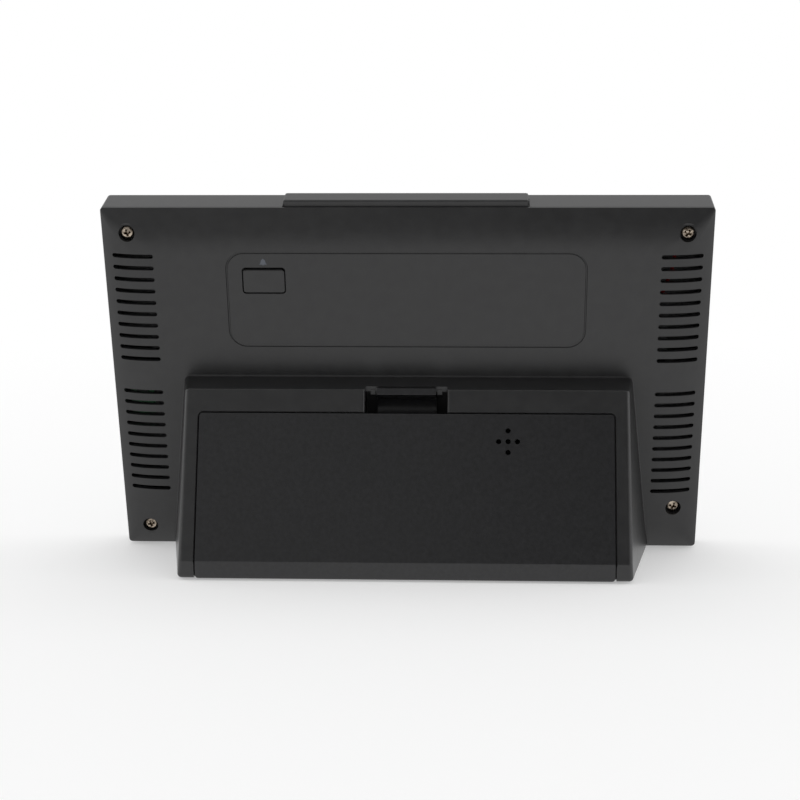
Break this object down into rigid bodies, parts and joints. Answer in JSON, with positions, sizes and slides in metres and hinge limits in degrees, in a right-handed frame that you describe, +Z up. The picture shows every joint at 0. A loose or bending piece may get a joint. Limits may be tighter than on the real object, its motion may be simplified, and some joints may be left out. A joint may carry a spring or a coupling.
{
  "type": "digital weather clock",
  "caption": "Wide, shallow digital clock panel that leans back on a wedge-shaped battery stand, with a snooze bar on top, side vents, an alarm key and a hinged battery door.",
  "frame": {"origin": "on the ground plane, midway across and midway between the foremost edge of the face and the rearmost edge of the stand", "axes": "+Z up, X across the panel, the display faces -Y and the battery stand is towards +Y"},
  "size_m": [0.22, 0.0694, 0.1377],
  "materials": {
    "housing": "satin black, fine moulded grain",
    "door": "satin black, fine spark texture",
    "key": "satin dark grey",
    "window": "clear, polished, printed border",
    "display": "liquid crystal display glass",
    "light_guide": "milky",
    "connector": "matte",
    "holder": "moulded dark grey",
    "board": "green solder resist",
    "switch": "moulded black",
    "screw": "nickel plated",
    "contact": "nickel plated spring strip",
    "cell": "plain printed sleeve",
    "foot": "matte",
    "red_wire": "smooth insulation",
    "black_wire": "smooth insulation"
  },
  "bodies": {
    "housing": {"front_bezel": "housing", "rear_cover": "housing", "window_lens": "window", "display_glass": "display", "light_guide": "light_guide", "led_strip": "light_guide", "connector_strip": "connector", "display_holder": "holder", "main_board": "board", "key_board": "board", "sensor_board": "board", "radio_module": "board", "snooze_switch": "switch", "alarm_switch": "switch", "buzzer": "switch", "battery_tray": "door", "battery_wire_red": "red_wire", "buzzer_wire_red": "red_wire", "battery_wire_black": "black_wire", "buzzer_wire_black": "black_wire", "contact_negative": "contact", "contact_positive": "contact", "contact_bridge": "contact", "cell_1": "cell", "cell_2": "cell", "cell_3": "cell", "cell_4": "cell", "case_screw_top_left": "screw", "board_screw_top_left": "screw", "case_screw_top_right": "screw", "board_screw_top_right": "screw", "case_screw_bottom_left": "screw", "board_screw_bottom_left": "screw", "case_screw_bottom_right": "screw", "board_screw_bottom_right": "screw", "key_board_screw_1": "screw", "key_board_screw_2": "screw", "foot_front_left": "foot", "foot_front_right": "foot", "foot_back_left": "foot", "foot_back_right": "foot"},
    "snooze_bar_body": {"snooze_bar": "housing"},
    "alarm_button_body": {"alarm_button": "housing"},
    "front_key_1_body": {"front_key_1": "key"},
    "front_key_2_body": {"front_key_2": "key"},
    "front_key_3_body": {"front_key_3": "key"},
    "front_key_4_body": {"front_key_4": "key"},
    "battery_door_body": {"battery_door": "door"},
    "door_latch_body": {"door_latch": "door"}
  },
  "joints": [
    {"name": "snooze_press", "type": "slide", "parent": "housing", "child": "snooze_bar_body", "axis": [0, -0.2723, -0.9622], "range_m": [0, 0.0008], "stiffness_N_per_m": 1500, "springref_m": -0.0005},
    {"name": "alarm_press", "type": "slide", "parent": "housing", "child": "alarm_button_body", "axis": [0, -0.9622, 0.2723], "range_m": [0, 0.0008], "stiffness_N_per_m": 1500, "springref_m": -0.0004},
    {"name": "front_key_1_press", "type": "slide", "parent": "housing", "child": "front_key_1_body", "axis": [0, 0.9622, -0.2723], "range_m": [0, 0.0005], "stiffness_N_per_m": 1200, "springref_m": -0.0003},
    {"name": "front_key_2_press", "type": "slide", "parent": "housing", "child": "front_key_2_body", "axis": [0, 0.9622, -0.2723], "range_m": [0, 0.0005], "stiffness_N_per_m": 1200, "springref_m": -0.0003},
    {"name": "front_key_3_press", "type": "slide", "parent": "housing", "child": "front_key_3_body", "axis": [0, 0.9622, -0.2723], "range_m": [0, 0.0005], "stiffness_N_per_m": 1200, "springref_m": -0.0003},
    {"name": "front_key_4_press", "type": "slide", "parent": "housing", "child": "front_key_4_body", "axis": [0, 0.9622, -0.2723], "range_m": [0, 0.0005], "stiffness_N_per_m": 1200, "springref_m": -0.0003},
    {"name": "door_swing", "type": "hinge", "parent": "housing", "child": "battery_door_body", "pos_m": [0, 0.03256, 0.0021], "axis": [-1, 0, 0], "range_deg": [0, 65]},
    {"name": "latch_flex", "type": "hinge", "parent": "battery_door_body", "child": "door_latch_body", "pos_m": [0, 0.0067, 0.06295], "axis": [-1, 0, 0], "range_deg": [0, 8], "stiffness_Nm_per_rad": 0.086}
  ]
}
